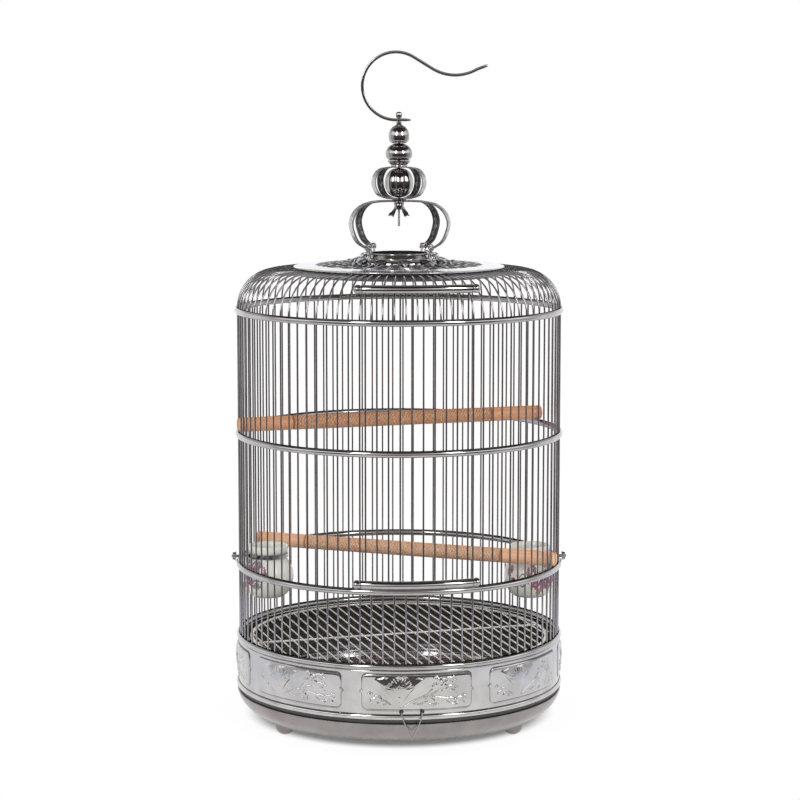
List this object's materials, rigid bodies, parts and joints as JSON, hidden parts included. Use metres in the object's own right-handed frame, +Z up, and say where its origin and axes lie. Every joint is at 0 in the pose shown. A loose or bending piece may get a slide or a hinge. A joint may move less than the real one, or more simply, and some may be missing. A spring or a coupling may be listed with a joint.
{
  "type": "bird cage",
  "caption": "Round wire bird cage with lifting doors, drop-out tray, perches, porcelain cups, an openwork crown and a hanging hook.",
  "frame": {"origin": "on the floor under the cage's upright axis, between the three feet", "axes": "+Z up along the spindle, doors facing -Y, +X to the right of the doors"},
  "size_m": [0.3488, 0.3442, 0.6967],
  "materials": {
    "polished_steel": "polished",
    "satin_steel": "satin",
    "wire_steel": "bright drawn wire",
    "engraved_steel": "polished, engraved",
    "turned_wood": "sanded, waxed",
    "porcelain": "glazed, with painted flowers"
  },
  "bodies": {
    "cage": {"base_hoop": "polished_steel", "lower_hoop": "polished_steel", "middle_hoop": "polished_steel", "upper_hoop": "polished_steel", "base_band": "polished_steel", "lid": "polished_steel", "collar": "polished_steel", "crown_boss": "polished_steel", "lantern_egg": "polished_steel", "finial_cup": "polished_steel", "finial_lower_ball": "polished_steel", "finial_upper_ball": "polished_steel", "knob_nut": "polished_steel", "left_cup_holder": "satin_steel", "right_cup_holder": "satin_steel", "left_cup_nut": "satin_steel", "right_cup_nut": "satin_steel", "wire_panel_1": "wire_steel", "wire_panel_2": "wire_steel", "wire_panel_3": "wire_steel", "wire_panel_4": "wire_steel", "wire_panel_5": "wire_steel", "wire_panel_6": "wire_steel", "top_ring": "wire_steel", "front_middle_wires": "wire_steel", "spindle": "wire_steel", "crown_rib_1": "engraved_steel", "crown_rib_2": "engraved_steel", "crown_rib_3": "engraved_steel", "crown_rib_4": "engraved_steel", "lantern": "engraved_steel"},
    "tray": {"tray": "satin_steel", "foot_1": "polished_steel", "foot_2": "polished_steel", "foot_3": "polished_steel", "foot_screw_1": "satin_steel", "foot_screw_2": "satin_steel", "foot_screw_3": "satin_steel"},
    "grate": {"grate": "satin_steel"},
    "hook": {"hook": "polished_steel"},
    "wing_nut": {"wing_nut": "engraved_steel"},
    "upper_door": {"upper_door": "polished_steel", "upper_door_left_knob": "polished_steel", "upper_door_right_knob": "polished_steel"},
    "lower_door": {"lower_door": "polished_steel", "lower_door_left_knob": "polished_steel", "lower_door_right_knob": "polished_steel"},
    "left_cup": {"left_cup": "porcelain"},
    "right_cup": {"right_cup": "porcelain"},
    "tray_clip_1": {"tray_clip_1": "wire_steel"},
    "tray_clip_2": {"tray_clip_2": "wire_steel"},
    "tray_clip_3": {"tray_clip_3": "wire_steel"},
    "upper_perch": {"upper_perch": "turned_wood"},
    "lower_perch": {"lower_perch": "turned_wood"}
  },
  "joints": [
    {"name": "tray_drop", "type": "slide", "parent": "cage", "child": "tray", "axis": [0, 0, -1], "range_m": [0, 0.05]},
    {"name": "grate_lift", "type": "slide", "parent": "cage", "child": "grate", "axis": [0, 0, 1], "range_m": [0, 0.03]},
    {"name": "hook_swivel", "type": "hinge", "parent": "cage", "child": "hook", "pos_m": [0, 0, 0.6262], "axis": [0, 0, 1], "continuous": true},
    {"name": "wing_nut_turn", "type": "hinge", "parent": "cage", "child": "wing_nut", "pos_m": [0, 0, 0.538], "axis": [0, 0, 1], "continuous": true},
    {"name": "upper_door_lift", "type": "slide", "parent": "cage", "child": "upper_door", "axis": [0, 0, 1], "range_m": [0, 0.12]},
    {"name": "lower_door_lift", "type": "slide", "parent": "cage", "child": "lower_door", "axis": [0, 0, 1], "range_m": [0, 0.065]},
    {"name": "upper_perch_lift", "type": "slide", "parent": "cage", "child": "upper_perch", "axis": [0, 0, 1], "range_m": [0, 0.09]},
    {"name": "lower_perch_lift", "type": "slide", "parent": "cage", "child": "lower_perch", "axis": [0, 0, 1], "range_m": [0, 0.1]},
    {"name": "left_cup_turn", "type": "hinge", "parent": "cage", "child": "left_cup", "pos_m": [-0.13628, 0.01401, 0.16], "axis": [0, 0, 1], "continuous": true},
    {"name": "right_cup_turn", "type": "hinge", "parent": "cage", "child": "right_cup", "pos_m": [0.13628, -0.01401, 0.16], "axis": [0, 0, 1], "continuous": true},
    {"name": "tray_clip_1_swing", "type": "hinge", "parent": "cage", "child": "tray_clip_1", "pos_m": [-0.00586, -0.1677, 0.0489], "axis": [-0.9994, 0.0349, 0], "range_deg": [-11, 42]},
    {"name": "tray_clip_2_swing", "type": "hinge", "parent": "cage", "child": "tray_clip_2", "pos_m": [0.14816, 0.07878, 0.0489], "axis": [0.4695, -0.8829, 0], "range_deg": [-11, 42]},
    {"name": "tray_clip_3_swing", "type": "hinge", "parent": "cage", "child": "tray_clip_3", "pos_m": [-0.1423, 0.08892, 0.0489], "axis": [0.5299, 0.848, 0], "range_deg": [-11, 42]}
  ]
}
